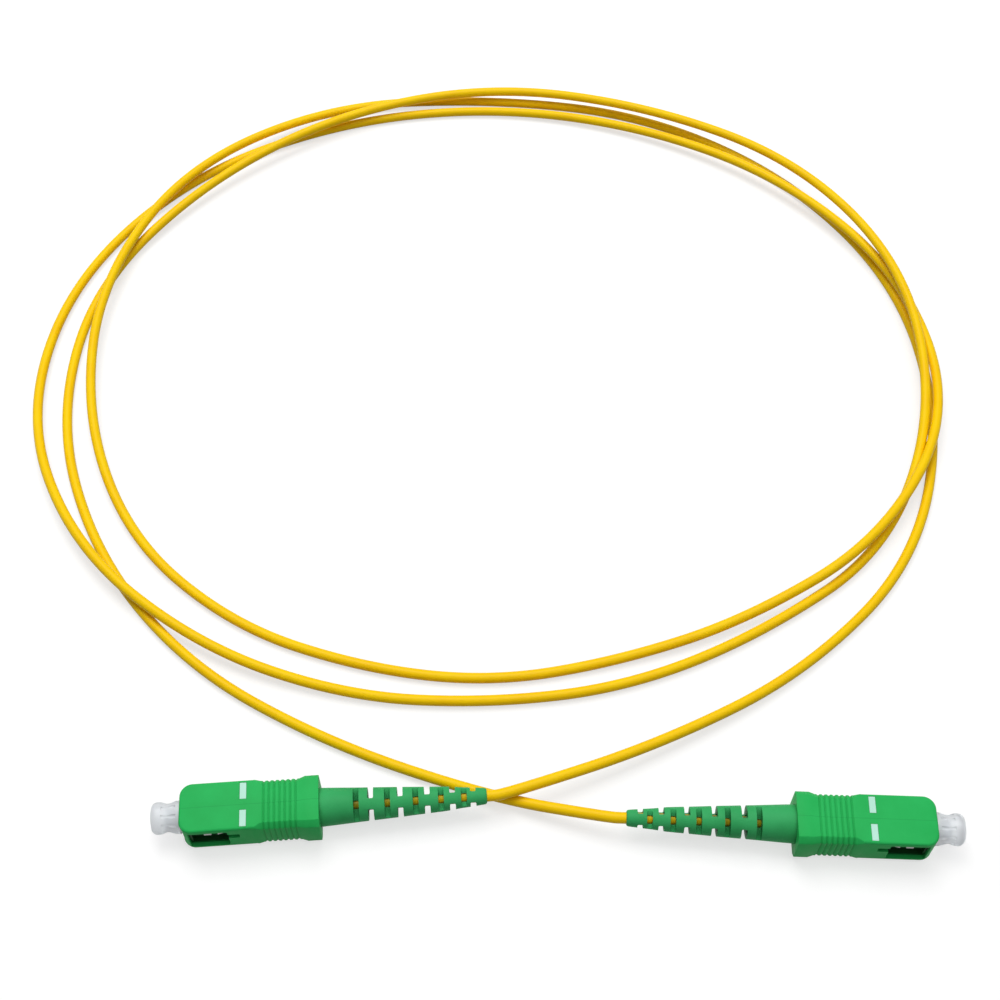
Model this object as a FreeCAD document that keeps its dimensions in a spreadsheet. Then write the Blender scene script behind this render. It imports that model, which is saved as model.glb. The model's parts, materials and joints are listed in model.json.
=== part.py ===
import FreeCAD, Part
import math
import os
import Sketcher

# Fiber optic patch cord: two plugs with boots and caps, joined by one coiled cable

os.makedirs("parts", exist_ok=True)
doc = FreeCAD.newDocument("PatchCord")
sheet = doc.addObject("Spreadsheet::Sheet", "Sizes")
Vector = FreeCAD.Vector

# Driving sizes in millimetres and degrees, stations counted from the boot's tip
sizes = {
    "bootLength": 29.0,
    "gripLength": 24.0,
    "gripWidth": 9.0,
    "gripHeight": 7.4,
    "gripFrontLength": 12.6,
    "gripEdgeRound": 0.7,
    "gripCornerRound": 2.2,
    "gripChamfer": 1.0,
    "bandLength": 2.4,
    "bandFlareLength": 1.0,
    "bandRise": 0.3,
    "grooveDepth": 0.15,
    "grooveWidth": 0.5,
    "groovePitch": 0.92,
    "grooveFirst": 14.5,
    "keyLength": 10.0,
    "keyWidth": 2.0,
    "keyHeight": 0.7,
    "keySetback": 1.5,
    "slideGap": 0.1,
    "gripRearBore": 3.4,
    "gripRearGap": 0.8,
    "gripTravel": 1.8,
    "windowSetback": 1.4,
    "windowLength": 6.8,
    "windowLow": 2.8,
    "windowHigh": 2.6,
    "windowNotch": 2.0,
    "windowNotchHigh": 1.5,
    "markSetback": 11.0,
    "markWidth": 1.15,
    "markInner": 1.0,
    "markOuter": 4.0,
    "markDepth": 0.3,
    "markGap": 0.02,
    "frameProud": 0.05,
    "frameCornerRound": 1.7,
    "frameLipRound": 1.2,
    "frameSetback": 4.4,
    "frameWidth": 7.3,
    "frameHeight": 5.8,
    "frameChamfer": 0.4,
    "frameBore": 2.45,
    "frameMouthDepth": 6.9,
    "frameShoulder": 0.8,
    "frameShoulderBore": 1.45,
    "latchSetback": 1.85,
    "latchLength": 8.3,
    "latchLow": 2.4,
    "latchHeight": 3.6,
    "latchDepth": 0.9,
    "toothSetback": 4.2,
    "toothLength": 1.25,
    "toothLow": 1.3,
    "toothHeight": 0.8,
    "toothRise": 0.55,
    "rampSetback": 6.55,
    "rampLength": 2.6,
    "ferruleRadius": 1.2495,
    "ferruleLength": 12.7,
    "ferruleProud": 1.0,
    "ferruleTipAngle": 8.0,
    "ferruleTipChamfer": 0.35,
    "glassRadius": 0.0625,
    "glassTail": 1.2,
    "pressGap": 0.0005,
    "faceGap": 0.02,
    "runningGap": 0.03,
    "flangeRadius": 2.3,
    "flangeLength": 2.2,
    "flangeNeckRadius": 1.5,
    "flangeNeckLength": 2.0,
    "flangeTailRadius": 1.4,
    "flangeTailLength": 9.0,
    "flangeTailBore": 0.55,
    "springWire": 0.25,
    "springRadius": 1.85,
    "springLength": 8.5,
    "springTurns": 7.0,
    "ringBodyRadius": 2.5,
    "ringBodyLength": 6.0,
    "ringFlangeRadius": 2.9,
    "ringFlangeLength": 1.0,
    "ringTailRadius": 1.8,
    "ringTailLength": 5.2,
    "ringBore": 1.5,
    "ringSeatBore": 2.2,
    "crimpWall": 0.3,
    "crimpWideBore": 2.0,
    "crimpWideLength": 6.6,
    "crimpNarrowRadius": 1.4,
    "crimpNarrowLength": 2.0,
    "bootRootRadius": 3.35,
    "bootTipRadius": 1.42,
    "bootTipRound": 0.35,
    "bootWallGap": 0.1,
    "bootCordGap": 0.05,
    "bootNoseRadius": 2.9,
    "slotWidth": 1.0,
    "slotWeb": 0.95,
    "slotBore": 1.2,
    "slotBoreStart": 3.0,
    "capSleeveRadius": 2.3,
    "capSleeveDepth": 5.9,
    "capCollarRadius": 2.95,
    "capNeckRadius": 2.7,
    "capHeadRadius": 2.6,
    "capWaistRadius": 2.4,
    "capCollarLength": 1.6,
    "capWaistLength": 0.8,
    "capHeadLength": 2.65,
    "capEndWall": 1.9,
    "capRibRadius": 0.3,
    "jacketRadius": 1.0,
    "jacketBore": 0.66,
    "yarnRadius": 0.63,
    "yarnBore": 0.47,
    "fibreRadius": 0.45,
    "fibreGap": 2.7,
    "jacketGap": 0.02,
    "straightLead": 2.0,
    "coilX": -11.7,
    "coilY": 88.75,
    "floorLift": 0.0,
    "leftTipX": -12.12,
    "leftTipY": 3.95,
    "leftYaw": 184.2,
    "leftTwist": -22.0,
    "rightTipX": 12.08,
    "rightTipY": -0.13,
    "rightYaw": -2.15,
    "rightTwist": 30.0,
}
for row, (alias, value) in enumerate(sizes.items(), start=1):
    sheet.set("A%d" % row, alias)
    sheet.set("B%d" % row, str(value))
    sheet.setAlias("B%d" % row, alias)
doc.recompute()


# A length that knows both its sheet formula and its present value
class Size:
    def __init__(self, text, value):
        self.text = text
        self.value = value

    def joined(self, sign, other, value):
        return Size("(%s %s %s)" % (self.text, sign, asSize(other).text), value)

    def __add__(self, other):
        return self.joined("+", other, self.value + asSize(other).value)

    def __sub__(self, other):
        return self.joined("-", other, self.value - asSize(other).value)

    def __mul__(self, other):
        return self.joined("*", other, self.value * asSize(other).value)

    def __truediv__(self, other):
        return self.joined("/", other, self.value / asSize(other).value)


def asSize(item):
    if isinstance(item, Size):
        return item
    return Size("(%s)" % repr(float(item)), float(item))


def fromSheet(alias):
    return Size("Sizes." + alias, float(sheet.get(alias)))


size = {alias: fromSheet(alias) for alias in sizes}
none = asSize(0)

# Stations along a plug, from the boot's tip towards the ferrule
gripBack = size["bootLength"]
gripFront = gripBack + size["gripLength"]
frameFront = gripFront + size["frameProud"]
frameBack = gripBack + size["frameSetback"]
shoulderFront = frameFront - size["frameMouthDepth"]
shoulderBack = shoulderFront - size["frameShoulder"]
ferruleTip = frameFront + size["ferruleProud"]
ferruleBack = ferruleTip - size["ferruleLength"]
flangeFront = shoulderBack - size["faceGap"]
flangeBack = flangeFront - size["flangeLength"]
flangeTail = flangeBack - size["flangeTailLength"]
springBack = flangeBack - size["springLength"]
ringFront = frameBack + size["ringBodyLength"]
ringFlangeBack = frameBack - size["ringFlangeLength"]
ringTailBack = ringFlangeBack - size["ringTailLength"]
crimpFront = ringFlangeBack - size["bootWallGap"]
crimpStep = crimpFront - size["crimpWideLength"]
crimpBack = crimpStep - size["crimpNarrowLength"]
bootFront = crimpFront
jacketEnd = crimpStep + size["bootWallGap"]
fibreEnd = ferruleBack - size["fibreGap"]
cavityBack = frameBack - size["gripRearGap"]
plugAxis = size["keyHeight"] + size["gripHeight"] / 2
halfWidth = size["gripWidth"] / 2
halfHeight = size["gripHeight"] / 2


# Small builders shared by every piece
def bind(item, path, length):
    item.setExpression(path, asSize(length).text)


def newObject(kind, name):
    return doc.addObject(kind, name)


def originPlane(body, role):
    for feature in body.Origin.OriginFeatures:
        if feature.Role == role:
            return feature
    raise ValueError("no plane named " + role)


def newSketch(body, role):
    sketch = body.newObject("Sketcher::SketchObject", body.Name + "Sketch")
    sketch.AttachmentSupport = [(originPlane(body, role), "")]
    sketch.MapMode = "FlatFace"
    return sketch


def moved(item, x=none, y=none, z=none):
    bind(item, ".Placement.Base.x", x)
    bind(item, ".Placement.Base.y", y)
    bind(item, ".Placement.Base.z", z)
    return item


def block(name, x, y, z, length, width, height):
    box = newObject("Part::Box", name)
    bind(box, "Length", length)
    bind(box, "Width", width)
    bind(box, "Height", height)
    return moved(box, x, y, z)


def rod(name, x, radius, length, y=none, z=none):
    cylinder = newObject("Part::Cylinder", name)
    bind(cylinder, "Radius", radius)
    bind(cylinder, "Height", length)
    cylinder.Placement.Rotation = FreeCAD.Rotation(Vector(0, 1, 0), 90)
    return moved(cylinder, x, y, z)


def fused(name, items):
    union = newObject("Part::MultiFuse", name)
    union.Shapes = items
    return union


def cutAway(name, base, tool):
    cut = newObject("Part::Cut", name)
    cut.Base = base
    cut.Tool = tool
    return cut


def shared(name, base, tool):
    common = newObject("Part::Common", name)
    common.Base = base
    common.Tool = tool
    return common


# A closed outline through the given corners, each corner held by the sheet
def outline(sketch, corners):
    count = len(corners)
    points = [Vector(across.value, up.value, 0) for across, up in corners]
    for index in range(count):
        line = Part.LineSegment(points[index], points[(index + 1) % count])
        sketch.addGeometry(line, False)
    for index in range(count):
        pair = Sketcher.Constraint("Coincident", index, 2, (index + 1) % count, 1)
        sketch.addConstraint(pair)
    for index, (across, up) in enumerate(corners):
        holds = (("DistanceX", across, -2), ("DistanceY", up, -1))
        for kind, length, axis in holds:
            if length is none:
                sketch.addConstraint(Sketcher.Constraint("PointOnObject", index, 1, axis))
                continue
            hold = Sketcher.Constraint(kind, -1, 1, index, 1, length.value)
            number = sketch.addConstraint(hold)
            bind(sketch, "Constraints[%d]" % number, length)
    return sketch


# A piece turned about the plug's axis from (station, radius) corners
def turned(name, corners):
    body = newObject("PartDesign::Body", name)
    sketch = outline(newSketch(body, "XY_Plane"), corners)
    spin = body.newObject("PartDesign::Revolution", name + "Turn")
    spin.Profile = sketch
    spin.ReferenceAxis = (sketch, ["H_Axis"])
    spin.Angle = 360
    sketch.Visibility = False
    return body


# A bar along the plug's axis with its four long edges rounded or chamfered
def bar(name, start, length, width, height, edge, kind):
    body = newObject("PartDesign::Body", name)
    sketch = newSketch(body, "YZ_Plane")
    across = width / 2
    up = height / 2
    minus = asSize(-1)
    corners = [(across * minus, up * minus), (across, up * minus), (across, up), (across * minus, up)]
    outline(sketch, corners)
    pad = body.newObject("PartDesign::Pad", name + "Pad")
    pad.Profile = sketch
    bind(pad, "Length", length)
    doc.recompute()
    longEdges = []
    for number, line in enumerate(pad.Shape.Edges, start=1):
        if abs(line.tangentAt(line.FirstParameter).x) > 0.9:
            longEdges.append("Edge%d" % number)
    trim = body.newObject("PartDesign::" + kind, name + kind)
    trim.Base = (pad, longEdges)
    bind(trim, "Radius" if kind == "Fillet" else "Size", edge)
    return moved(body, start)


# A flat blank with its two front corners rounded, to trim a nose to in plan or in profile
def roundedNose(name, plane, start, front, across, thickness, radius):
    body = newObject("PartDesign::Body", name)
    sketch = newSketch(body, plane)
    minus = asSize(-1)
    outline(sketch, [(start, across * minus), (front, across * minus), (front, across), (start, across)])
    pad = body.newObject("PartDesign::Pad", name + "Pad")
    pad.Profile = sketch
    pad.Midplane = True
    bind(pad, "Length", thickness)
    doc.recompute()
    corners = []
    for number, line in enumerate(pad.Shape.Edges, start=1):
        along = line.tangentAt(line.FirstParameter)
        crosswise = abs(along.z) if plane == "XY_Plane" else abs(along.y)
        if crosswise > 0.9 and line.CenterOfMass.x > start.value + 1:
            corners.append("Edge%d" % number)
    trim = body.newObject("PartDesign::Fillet", name + "Round")
    trim.Base = (pad, corners)
    bind(trim, "Radius", radius)
    return body


# An eight-sided ring of points for the flared collar at the grip's back
def octagon(name, x, width, height, chamfer):
    sketch = newObject("Sketcher::SketchObject", name)
    across = width / 2
    up = height / 2
    inAcross = across - chamfer
    inUp = up - chamfer
    minus = asSize(-1)
    corners = [
        (inAcross * minus, up * minus), (inAcross, up * minus),
        (across, inUp * minus), (across, inUp),
        (inAcross, up), (inAcross * minus, up),
        (across * minus, inUp), (across * minus, inUp * minus),
    ]
    outline(sketch, corners)
    sketch.Placement = FreeCAD.Placement(Vector(0, 0, 0), FreeCAD.Rotation(0.5, 0.5, 0.5, 0.5))
    return moved(sketch, x)


# The pieces of one plug, each moved to its end of the cord
def turn(item, axis, angle, x=none, y=none, z=none):
    place = "create(<<vector>>; %s; %s; %s)" % (x.text, y.text, z.text)
    about = "create(<<vector>>; %d; %d; %d)" % axis
    spin = "create(<<rotation>>; %s; %s)" % (about, angle.text)
    item.setExpression("Placement", "create(<<placement>>; %s; %s)" % (place, spin))
    return item


def sitAtEnd(item, label, side):
    item.Label = label
    return turn(item, (0, 0, 1), size[side + "Yaw"], size[side + "TipX"], size[side + "TipY"], plugAxis)


def makeGrip(end):
    minus = asSize(-1)
    frontStart = gripFront - size["gripFrontLength"]
    bandFront = gripBack + size["bandLength"]
    flareFront = bandFront + size["bandFlareLength"]
    bandWidth = size["gripWidth"] + size["bandRise"] * 2
    bandHeight = size["gripHeight"] + size["bandRise"] * 2
    frontBar = bar("GripFrontBar" + end, frontStart, size["gripFrontLength"], size["gripWidth"],
                   size["gripHeight"], size["gripEdgeRound"], "Fillet")
    plan = roundedNose("GripPlan" + end, "XY_Plane", frontStart, gripFront, halfWidth,
                       size["gripHeight"] + 2, size["gripCornerRound"])
    frontSection = shared("GripFront" + end, frontBar, plan)

    rearBar = bar("GripRearBar" + end, flareFront, frontStart - flareFront, size["gripWidth"],
                  size["gripHeight"], size["gripChamfer"], "Chamfer")
    core = bar("GripCore" + end, flareFront, frontStart - flareFront,
               size["gripWidth"] - size["grooveDepth"] * 2, size["gripHeight"] - size["grooveDepth"] * 2,
               size["gripChamfer"] - size["grooveDepth"] * 0.59, "Chamfer")
    rings = []
    for index in range(7):
        behind = size["grooveFirst"] + size["groovePitch"] * index + size["grooveWidth"] / 2
        rings.append(block("Groove%s%d" % (end, index), gripFront - behind, bandWidth * -1, bandHeight * -1,
                           size["grooveWidth"], bandWidth * 2, bandHeight * 2))
    grooves = cutAway("GripGrooves" + end, fused("GrooveBlocks" + end, rings), core)
    ridged = cutAway("GripRidged" + end, rearBar, grooves)

    flare = newObject("Part::Loft", "GripFlare" + end)
    flare.Sections = [
        octagon("FlareBack" + end, bandFront, bandWidth, bandHeight, size["gripChamfer"]),
        octagon("FlareFront" + end, flareFront, size["gripWidth"], size["gripHeight"], size["gripChamfer"]),
    ]
    flare.Solid = True
    flare.Ruled = True
    band = bar("GripBand" + end, gripBack, size["bandLength"], bandWidth, bandHeight,
               size["gripChamfer"], "Chamfer")
    keyStart = gripFront - size["keySetback"] - size["keyLength"]
    key = block("GripKey" + end, keyStart, size["keyWidth"] / -2, plugAxis * -1,
                size["keyLength"], size["keyWidth"], size["keyHeight"] + 0.5)
    outer = fused("GripOuter" + end, [frontSection, ridged, flare, band, key])

    hollowWidth = size["frameWidth"] + size["slideGap"] * 2
    hollowHeight = size["frameHeight"] + size["slideGap"] * 2
    cavity = block("GripCavity" + end, cavityBack, hollowWidth / -2, hollowHeight / -2,
                   size["gripLength"], hollowWidth, hollowHeight)
    rearBore = rod("GripRearBore" + end, gripBack - 1, size["gripRearBore"], cavityBack - gripBack + 1.05)
    windowStart = gripFront - size["windowSetback"] - size["windowLength"]
    window = block("GripWindow" + end, windowStart, size["gripWidth"] * -1, size["windowLow"] * -1,
                   size["windowLength"], size["gripWidth"] * 2, size["windowLow"] + size["windowHigh"])
    notch = block("GripNotch" + end, windowStart - size["windowNotch"], size["gripWidth"] * -1, none,
                  size["windowNotch"] + 0.5, size["gripWidth"] * 2, size["windowNotchHigh"])
    cutters = [cavity, rearBore, window, notch]
    inlays = []
    markStart = gripFront - size["markSetback"] - size["markWidth"] / 2
    markLength = size["markOuter"] - size["markInner"]
    floor = halfHeight - size["markDepth"]
    gap = size["markGap"]
    for index, start in enumerate((size["markInner"], size["markOuter"] * -1)):
        cutters.append(block("MarkRecess%s%d" % (end, index), markStart, start, floor,
                             size["markWidth"], markLength, size["markDepth"] + 1))
        inlays.append(block("MarkBlank%s%d" % (end, index), markStart + gap, start + gap, floor,
                            size["markWidth"] - gap * 2, markLength - gap * 2, size["markDepth"] + 1))
    marks = shared("Marks" + end, frontSection, fused("MarkBlanks" + end, inlays))
    grip = cutAway("Grip" + end, outer, fused("GripCutters" + end, cutters))
    return grip, marks


def makeFrame(end):
    straight = bar("FrameShell" + end, frameBack, frameFront - frameBack, size["frameWidth"],
                   size["frameHeight"], size["frameChamfer"], "Chamfer")
    inPlan = roundedNose("FramePlan" + end, "XY_Plane", frameBack, frameFront, size["frameWidth"] / 2,
                         size["frameHeight"] + 2, size["frameCornerRound"])
    inProfile = roundedNose("FrameProfile" + end, "XZ_Plane", frameBack, frameFront, size["frameHeight"] / 2,
                            size["frameWidth"] + 2, size["frameLipRound"])
    shell = shared("FrameNose" + end, shared("FrameInPlan" + end, straight, inPlan), inProfile)
    ringBore = size["ringBodyRadius"] + size["faceGap"]
    boreChange = ringFront + size["bootWallGap"]
    bore = turned("FrameBore" + end, [
        (frameBack - 1, none), (frameBack - 1, ringBore), (boreChange, ringBore),
        (boreChange, size["frameBore"]), (shoulderBack, size["frameBore"]),
        (shoulderBack, size["frameShoulderBore"]), (shoulderFront, size["frameShoulderBore"]),
        (shoulderFront, size["frameBore"]), (frameFront + 1, size["frameBore"]), (frameFront + 1, none),
    ])
    latchStart = frameFront - size["latchSetback"] - size["latchLength"]
    inner = size["frameWidth"] / 2 - size["latchDepth"]
    cutters = [bore]
    added = [shell]
    for index, flip in enumerate((1, -1)):
        side = inner if flip > 0 else inner * -1 - 2
        cutters.append(block("LatchPocket%s%d" % (end, index), latchStart, side, size["latchLow"] * -1,
                             size["latchLength"], asSize(2), size["latchHeight"]))
        root = size["frameWidth"] / 2 - 0.1
        rise = size["toothRise"] + 0.1
        side = root if flip > 0 else (root + rise) * -1
        toothStart = frameFront - size["toothSetback"] - size["toothLength"]
        added.append(block("Tooth%s%d" % (end, index), toothStart, side, size["toothLow"],
                           size["toothLength"], rise, size["toothHeight"]))
        ramp = newObject("PartDesign::Body", "Ramp%s%d" % (end, index))
        sketch = newSketch(ramp, "XY_Plane")
        rampStart = frameFront - size["rampSetback"] - size["rampLength"]
        rampEnd = frameFront - size["rampSetback"]
        outline(sketch, [
            (rampStart, root * flip), (rampEnd, root * flip), (rampEnd, (root + rise) * flip),
        ])
        pad = ramp.newObject("PartDesign::Pad", "RampPad%s%d" % (end, index))
        pad.Profile = sketch
        bind(pad, "Length", size["toothHeight"])
        added.append(moved(ramp, z=size["toothLow"]))
    hollow = cutAway("FrameHollow" + end, fused("FrameSolid" + end, added), fused("FrameCutters" + end, cutters))
    return hollow


def makeFerrule(end):
    bore = size["glassRadius"] + size["pressGap"]
    chamfer = size["ferruleTipChamfer"]
    blank = turned("FerruleBlank" + end, [
        (ferruleBack, bore), (ferruleBack, size["ferruleRadius"]),
        (ferruleTip - chamfer * 2, size["ferruleRadius"]),
        (ferruleTip, size["ferruleRadius"] - chamfer), (ferruleTip, bore),
    ])
    polish = block("FerrulePolish" + end, asSize(0), asSize(-3), asSize(-3), asSize(3), asSize(6), asSize(6))
    holder = fused("FerrulePolishTurn" + end, [polish, rod("PolishCore" + end, asSize(0.5), asSize(1), asSize(3))])
    turn(holder, (0, 1, 0), size["ferruleTipAngle"], ferruleTip)
    return cutAway("Ferrule" + end, blank, holder)


def makeFlange(end):
    seat = size["ferruleRadius"] + size["pressGap"]
    neckBack = flangeBack - size["flangeNeckLength"]
    return turned("Flange" + end, [
        (flangeTail, size["flangeTailBore"]), (flangeTail, size["flangeTailRadius"]),
        (neckBack, size["flangeTailRadius"]), (neckBack, size["flangeNeckRadius"]),
        (flangeBack, size["flangeNeckRadius"]), (flangeBack, size["flangeRadius"]),
        (flangeFront, size["flangeRadius"]), (flangeFront, seat),
        (ferruleBack, seat), (ferruleBack, size["flangeTailBore"]),
    ])


def makeSpring(end):
    helix = newObject("Part::Helix", "SpringPath" + end)
    bind(helix, "Radius", size["springRadius"])
    bind(helix, "Height", size["springLength"])
    bind(helix, "Pitch", size["springLength"] / size["springTurns"])
    wire = newObject("Part::Circle", "SpringWire" + end)
    bind(wire, "Radius", size["springWire"])
    wire.Placement.Rotation = FreeCAD.Rotation(Vector(1, 0, 0), 90)
    moved(wire, size["springRadius"])
    sweep = newObject("Part::Sweep", "SpringSweep" + end)
    sweep.Sections = [wire]
    sweep.Spine = (helix, [])
    sweep.Solid = True
    sweep.Frenet = True
    sweep.Placement.Rotation = FreeCAD.Rotation(Vector(0, 1, 0), 90)
    moved(sweep, springBack)
    ground = rod("SpringGround" + end, springBack + size["faceGap"], size["springRadius"] * 2,
                 size["springLength"] - size["faceGap"] * 2)
    return shared("Spring" + end, sweep, ground)


def makeStopRing(end):
    seat = springBack - size["faceGap"]
    return turned("StopRing" + end, [
        (ringTailBack, size["ringBore"]), (ringTailBack, size["ringTailRadius"]),
        (ringFlangeBack, size["ringTailRadius"]), (ringFlangeBack, size["ringFlangeRadius"]),
        (frameBack, size["ringFlangeRadius"]), (frameBack, size["ringBodyRadius"]),
        (ringFront, size["ringBodyRadius"]), (ringFront, size["ringSeatBore"]),
        (seat, size["ringSeatBore"]), (seat, size["ringBore"]),
    ])


def makeCrimp(end):
    narrowBore = size["jacketRadius"] + size["jacketGap"]
    wideOuter = size["crimpWideBore"] + size["crimpWall"]
    stepInner = crimpStep + size["crimpWall"]
    return turned("Crimp" + end, [
        (crimpBack, narrowBore), (crimpBack, size["crimpNarrowRadius"]),
        (crimpStep, size["crimpNarrowRadius"]), (crimpStep, wideOuter),
        (crimpFront, wideOuter), (crimpFront, size["crimpWideBore"]),
        (stepInner, size["crimpWideBore"]), (stepInner, narrowBore),
    ])


# The boot's tapering outside as (distance behind the grip, radius)
bootTaper = [(2.0, 3.25), (7.0, 2.95), (14.0, 2.58), (18.0, 2.33), (22.0, 2.1), (24.5, 1.8)]
flatSlots = [6.3, 11.7, 16.6, 21.0, 25.0]
sideSlots = [8.8, 13.9, 18.6, 23.0, 26.6]


def makeBoot(end, side):
    tipRound = size["bootTipRound"]
    cordBore = size["jacketRadius"] + size["bootCordGap"]
    noseStart = cavityBack - size["gripTravel"] - size["bootWallGap"] * 2
    narrowBore = size["crimpNarrowRadius"] + size["jacketGap"]
    wideBore = size["crimpWideBore"] + size["crimpWall"] + size["bootWallGap"]
    narrowStart = crimpBack - size["bootWallGap"]
    wideStart = crimpStep - size["bootWallGap"]
    corners = [
        (none, cordBore), (none, size["bootTipRadius"] - tipRound), (tipRound, size["bootTipRadius"]),
    ]
    for behind, radius in reversed(bootTaper):
        corners.append((gripBack - behind, asSize(radius)))
    corners += [
        (gripBack, size["bootRootRadius"]), (noseStart, size["bootRootRadius"]),
        (noseStart, size["bootNoseRadius"]), (bootFront, size["bootNoseRadius"]), (bootFront, wideBore),
        (wideStart, wideBore), (wideStart, narrowBore), (narrowStart, narrowBore),
        (narrowStart, size["slotBore"]), (size["slotBoreStart"], size["slotBore"]),
        (size["slotBoreStart"] / 3, cordBore),
    ]
    blank = turned("BootBlank" + end, corners)
    web = size["slotWeb"]
    far = asSize(5)
    cutters = []
    for index, behind in enumerate(flatSlots):
        start = gripBack - behind - size["slotWidth"] / 2
        for name, low in (("Up", web), ("Down", (web + far) * -1)):
            cutters.append(block("Slot%s%s%d" % (name, end, index), start, far * -1, low,
                                 size["slotWidth"], far * 2, far))
    for index, behind in enumerate(sideSlots):
        start = gripBack - behind - size["slotWidth"] / 2
        for name, low in (("Near", web), ("Far", (web + far) * -1)):
            cutters.append(block("Slot%s%s%d" % (name, end, index), start, low, far * -1,
                                 size["slotWidth"], far, far * 2))
    slots = fused("BootSlots" + end, cutters)
    turn(slots, (1, 0, 0), size[side + "Twist"])
    return cutAway("Boot" + end, blank, slots)


def makeCap(end):
    bore = size["ferruleRadius"] + size["runningGap"]
    collarBack = frameFront + size["faceGap"]
    waistBack = collarBack + size["capCollarLength"]
    headBack = waistBack + size["capWaistLength"]
    head = headBack + size["capHeadLength"]
    sleeveBack = frameFront - size["capSleeveDepth"]
    boreEnd = head - size["capEndWall"]
    blank = turned("CapBlank" + end, [
        (sleeveBack, bore), (sleeveBack, size["capSleeveRadius"] - 0.15),
        (sleeveBack + 0.2, size["capSleeveRadius"]), (collarBack, size["capSleeveRadius"]),
        (collarBack, size["capCollarRadius"]), (collarBack + 0.3, size["capCollarRadius"]),
        (waistBack, size["capNeckRadius"]), (waistBack + 0.15, size["capWaistRadius"]),
        (headBack - 0.15, size["capWaistRadius"]),
        (headBack, size["capHeadRadius"]), (head - 0.55, size["capHeadRadius"]),
        (head - 0.15, size["capHeadRadius"] - 0.2), (head, size["capHeadRadius"] - 0.6),
        (head, none), (boreEnd, none), (boreEnd, bore),
    ])
    ribs = []
    reach = size["capHeadRadius"].value + size["capRibRadius"].value * 0.45
    for index in range(12):
        angle = math.radians(30 * index)
        ribs.append(rod("CapFlute%s%d" % (end, index), headBack - 0.1, size["capRibRadius"],
                        size["capHeadLength"] + 1, asSize(round(reach * math.cos(angle), 4)),
                        asSize(round(reach * math.sin(angle), 4))))
    return cutAway("Cap" + end, blank, fused("CapFlutes" + end, ribs))


def makeGlass(end):
    start = ferruleBack - size["glassTail"]
    finish = ferruleTip - size["ferruleTipChamfer"]
    return turned("Glass" + end, [
        (start, none), (start, size["glassRadius"]), (finish, size["glassRadius"]), (finish, none),
    ])


def makeYarnFlare(end):
    tailGap = size["bootWallGap"]
    inner = size["ringTailRadius"] + size["jacketGap"]
    outer = size["crimpWideBore"] - size["jacketGap"]
    start = jacketEnd + size["crimpWall"]
    wide = ringTailBack - tailGap
    return turned("YarnFlare" + end, [
        (jacketEnd, size["yarnBore"]), (start, size["yarnBore"]), (wide, inner),
        (crimpFront - tailGap * 4, inner), (crimpFront - tailGap * 4, outer),
        (wide - size["jacketGap"] * 5, outer), (start - tailGap, size["yarnRadius"]),
        (jacketEnd, size["yarnRadius"]),
    ])



# The coil's turns: how far out and how high the cable lies at the marks right, back, left and front
turns = [
    {"reach": (91, 93, 81, 63), "height": (1.1, 3.5, 7.8, 7.8)},
    {"reach": (90, 89, 93, 65), "height": (7.2, 1.1, 5.0, 3.0)},
    {"reach": (87, 95, 87), "height": (7.0, 7.2, 2.2)},
]
# The way from the last turn to the right plug, below the left boot's tip
rightLead = [(-39.9, 15.3, 1.3), (-11.9, 4.9, 1.4)]


def plugFrame(side):
    yaw = math.radians(size[side + "Yaw"].value)
    tip = Vector(size[side + "TipX"].value, size[side + "TipY"].value, plugAxis.value)
    return tip, Vector(math.cos(yaw), math.sin(yaw), 0)


# The points that the cable passes through, turn after turn
def coilPoints():
    middle = Vector(size["coilX"].value, size["coilY"].value, size["floorLift"].value)
    points = []
    for layout in turns:
        for quarter, (reach, height) in enumerate(zip(layout["reach"], layout["height"])):
            around = math.radians(90 * quarter)
            points.append(middle + Vector(reach * math.cos(around), reach * math.sin(around), height))
    return points + [Vector(*point) for point in rightLead]


# Each inner point with the direction of a circle through it and both its neighbours
def withTravel(before, points, after):
    chain = [before] + points + [after]
    marks = []
    for last, here, following in zip(chain, chain[1:], chain[2:]):
        come = here - last
        leave = following - here
        travel = leave * (come.Length / leave.Length) + come * (leave.Length / come.Length)
        marks.append((here, travel.normalize()))
    return marks


# One arc from a point, leaving it along a direction and ending at a second point
def arcFrom(start, travel, finish):
    chord = finish - start
    aside = chord - travel * chord.dot(travel)
    if aside.Length < 1e-7:
        return Part.LineSegment(start, finish).toShape(), None
    aside.normalize()
    radius = chord.Length ** 2 / (2 * chord.dot(aside))
    centre = start + aside * radius
    half = math.atan2(chord.dot(aside), chord.dot(travel))
    middle = centre - aside * (radius * math.cos(half)) + travel * (radius * math.sin(half))
    return Part.Arc(start, middle, finish).toShape(), radius


# Two arcs that leave one mark and reach the next with no kink between them
def biarc(first, second):
    (start, leaving), (finish, arriving) = first, second
    chord = finish - start
    both = leaving + arriving
    slack = 2 * (1 - leaving.dot(arriving))
    along = chord.dot(both)
    if slack < 1e-9:
        reach = chord.dot(chord) / (4 * chord.dot(arriving))
    else:
        reach = (math.sqrt(along ** 2 + slack * chord.dot(chord)) - along) / slack
    joint = (start + finish + (leaving - arriving) * reach) * 0.5
    firstArc, firstRadius = arcFrom(start, leaving, joint)
    lastArc, lastRadius = arcFrom(finish, arriving * -1, joint)
    backward = Part.Arc(joint, lastArc.valueAt((lastArc.FirstParameter + lastArc.LastParameter) / 2), finish)
    return [firstArc, backward.toShape()], [firstRadius, lastRadius]


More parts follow.
